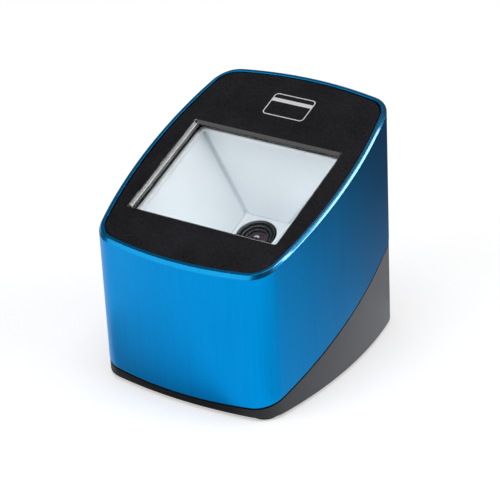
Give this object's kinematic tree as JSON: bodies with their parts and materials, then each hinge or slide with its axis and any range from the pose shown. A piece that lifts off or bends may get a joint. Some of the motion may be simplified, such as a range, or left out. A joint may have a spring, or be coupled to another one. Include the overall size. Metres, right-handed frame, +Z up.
{
  "type": "desktop barcode scanner",
  "caption": "Desktop barcode scanner: slanted blue aluminium sleeve, black face plate with a window over a white light funnel and camera, on a dark wedge base with rubber feet.",
  "frame": {"origin": "on the desk, below the middle of the body's outline", "axes": "+Z up, the low front faces -Y, the data socket at the tall back faces +Y, +X to the right seen from the front"},
  "size_m": [0.08, 0.0918, 0.0867],
  "materials": {
    "blue_aluminium": "fine vertical brushing, blue anodised",
    "black_plate": "fine spark texture",
    "base_plastic": "fine spark texture, dark grey",
    "black_plastic": "matt",
    "white_plastic": "satin white",
    "black_rubber": "matt",
    "clear_pane": "polished, clear",
    "coated_glass": "polished, purple coating",
    "screw_steel": "zinc plated",
    "can_steel": "tinned sheet",
    "circuit_board": "green solder mask",
    "chip_black": "moulded package",
    "lamp_yellow": "phosphor under clear resin",
    "connector_white": "moulded, off-white",
    "ribbon_film": "laminated film",
    "button_grey": "moulded"
  },
  "bodies": {
    "body": {"housing_sleeve": "blue_aluminium", "face_plate": "black_plate", "base_housing": "base_plastic", "rubber_foot_front_left": "black_rubber", "rubber_foot_front_right": "black_rubber", "rubber_foot_rear_left": "black_rubber", "rubber_foot_rear_right": "black_rubber", "case_screw_front_left": "screw_steel", "case_screw_front_right": "screw_steel", "case_screw_rear_left": "screw_steel", "case_screw_rear_right": "screw_steel", "window_gasket": "black_rubber", "window_pane": "clear_pane", "light_funnel": "white_plastic", "led_board": "circuit_board", "led_left": "lamp_yellow", "led_right": "lamp_yellow", "led_front": "lamp_yellow", "led_rear": "lamp_yellow", "camera_bracket": "black_plastic", "funnel_screw_front_left": "screw_steel", "funnel_screw_front_right": "screw_steel", "funnel_screw_rear_left": "screw_steel", "funnel_screw_rear_right": "screw_steel", "engine_screw_front_left": "screw_steel", "engine_screw_front_right": "screw_steel", "engine_screw_rear_left": "screw_steel", "engine_screw_rear_right": "screw_steel", "sensor_board": "circuit_board", "image_sensor": "chip_black", "sensor_screw_front_left": "screw_steel", "sensor_screw_rear_right": "screw_steel", "lens_holder": "black_plastic", "lens_lock_ring": "black_plastic", "lens_barrel": "black_plastic", "front_lens": "coated_glass", "rear_lens": "coated_glass", "antenna_board": "circuit_board", "antenna_tape": "black_rubber", "main_board": "circuit_board", "board_screw_front_left": "screw_steel", "board_screw_front_right": "screw_steel", "board_screw_rear_left": "screw_steel", "board_screw_rear_right": "screw_steel", "processor_chip": "chip_black", "shield_can": "can_steel", "buzzer": "chip_black", "data_socket": "black_plastic", "reset_switch": "chip_black", "sensor_ribbon_socket": "connector_white", "main_engine_socket": "connector_white", "engine_ribbon": "ribbon_film", "led_ribbon_socket": "connector_white", "main_led_socket": "connector_white", "led_ribbon": "ribbon_film", "antenna_ribbon_socket": "connector_white", "main_antenna_socket": "connector_white", "antenna_ribbon": "ribbon_film"},
    "reset_button": {"reset_plunger": "button_grey"}
  },
  "joints": [
    {"name": "reset_press", "type": "slide", "parent": "body", "child": "reset_button", "axis": [0, 0, 1], "range_m": [0, 0.00025], "stiffness_N_per_m": 4000}
  ]
}
